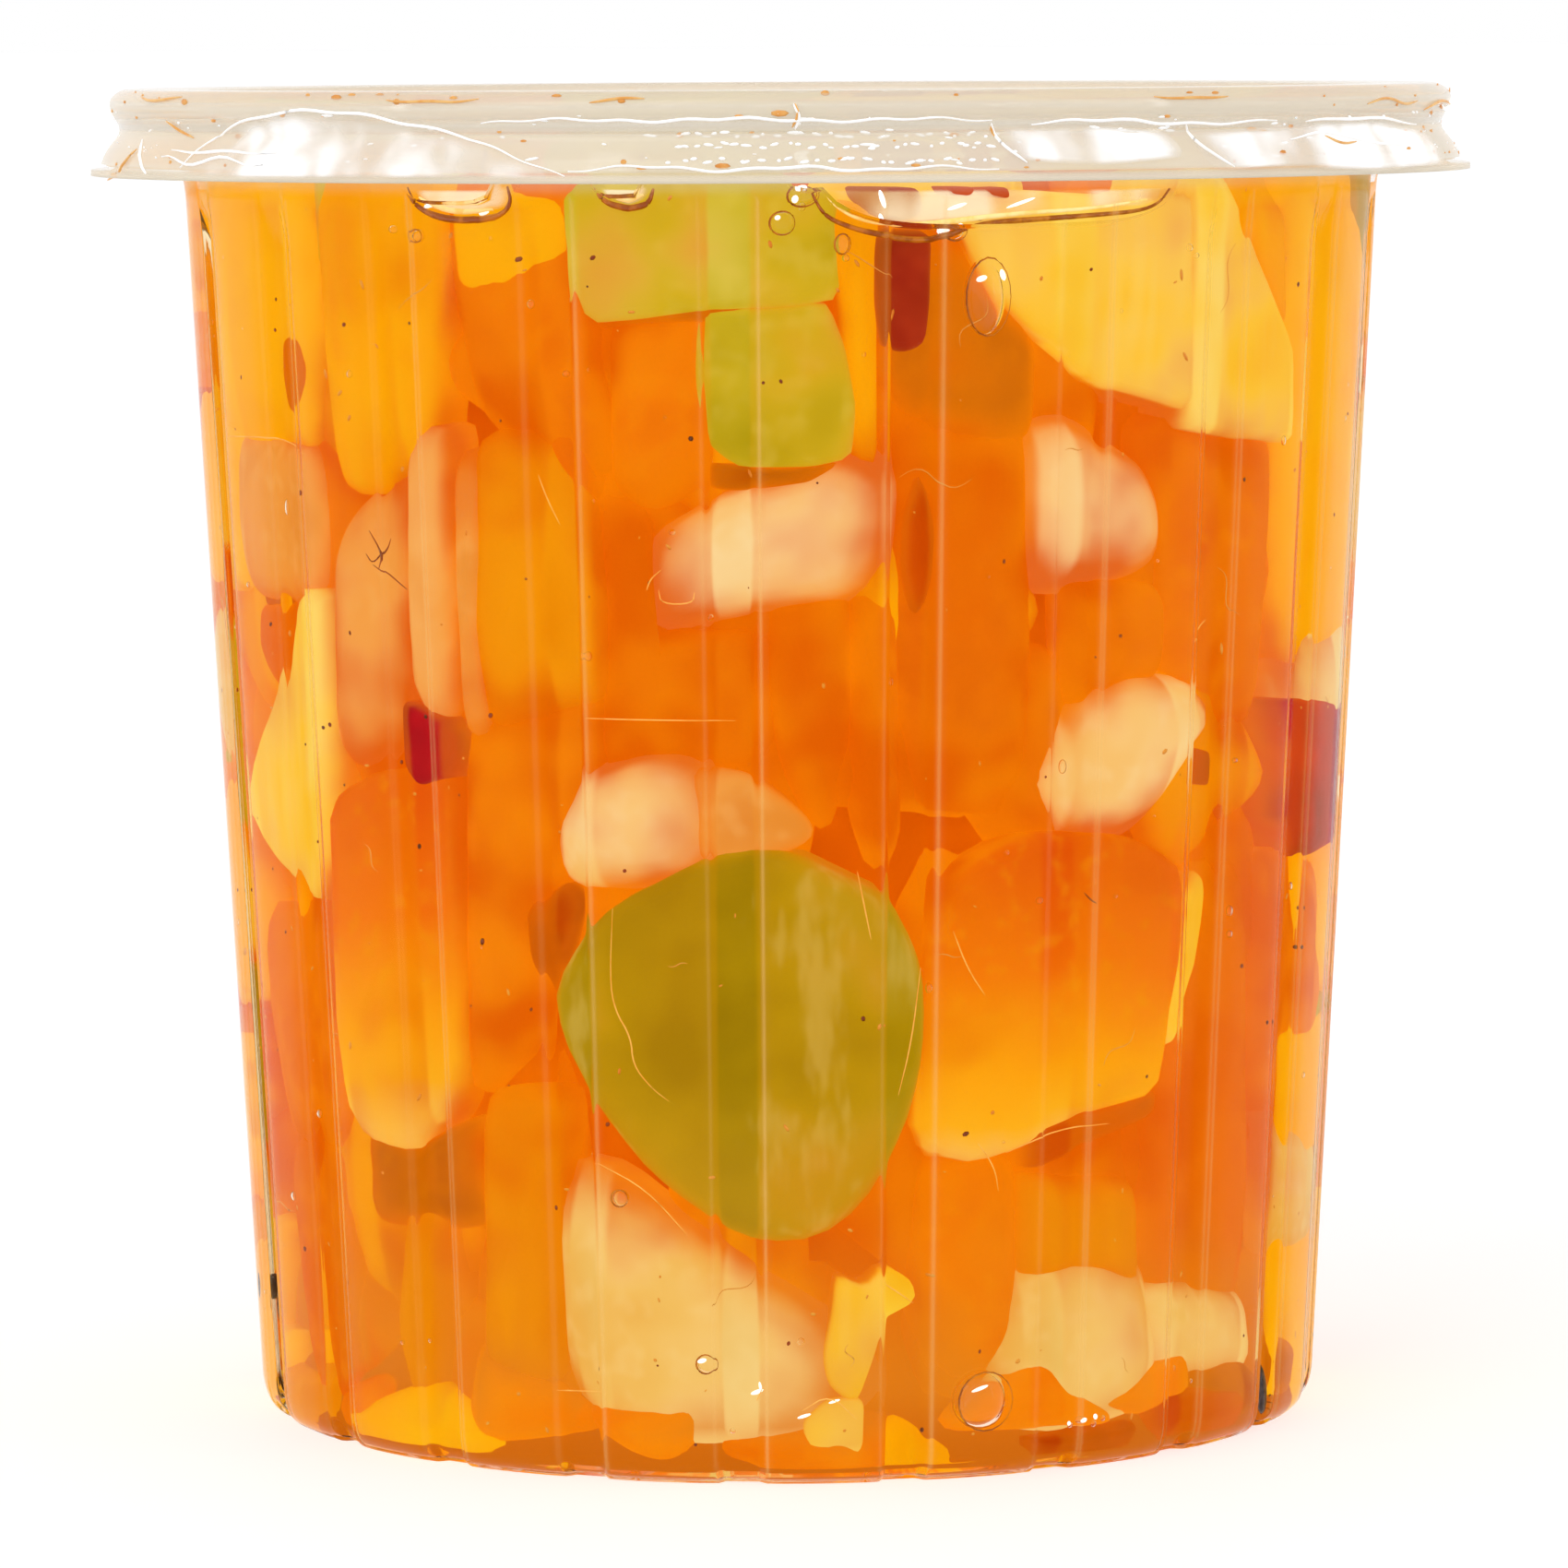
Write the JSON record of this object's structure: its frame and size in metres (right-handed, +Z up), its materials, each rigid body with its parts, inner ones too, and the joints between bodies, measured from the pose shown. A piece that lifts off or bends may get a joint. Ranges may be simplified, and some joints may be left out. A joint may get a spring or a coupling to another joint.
{
  "type": "fruit cup",
  "caption": "Clear fluted tub with a snap lid, filled to the brim with cut fruit in orange juice.",
  "frame": {"origin": "centre of the foot, on the surface that the tub stands on", "axes": "+Z up through the middle of the lid, -Y towards the viewer of the picture, +X to the viewer's right"},
  "size_m": [0.12, 0.12, 0.1154],
  "materials": {
    "clear_cup": "clear moulded plastic with pressed flutes",
    "clear_lid": "clear thin moulded plastic",
    "cut_fruit": "wet cut fruit in orange juice"
  },
  "bodies": {
    "root": {"cup": "clear_cup", "lid": "clear_lid", "fruit": "cut_fruit"}
  },
  "joints": []
}
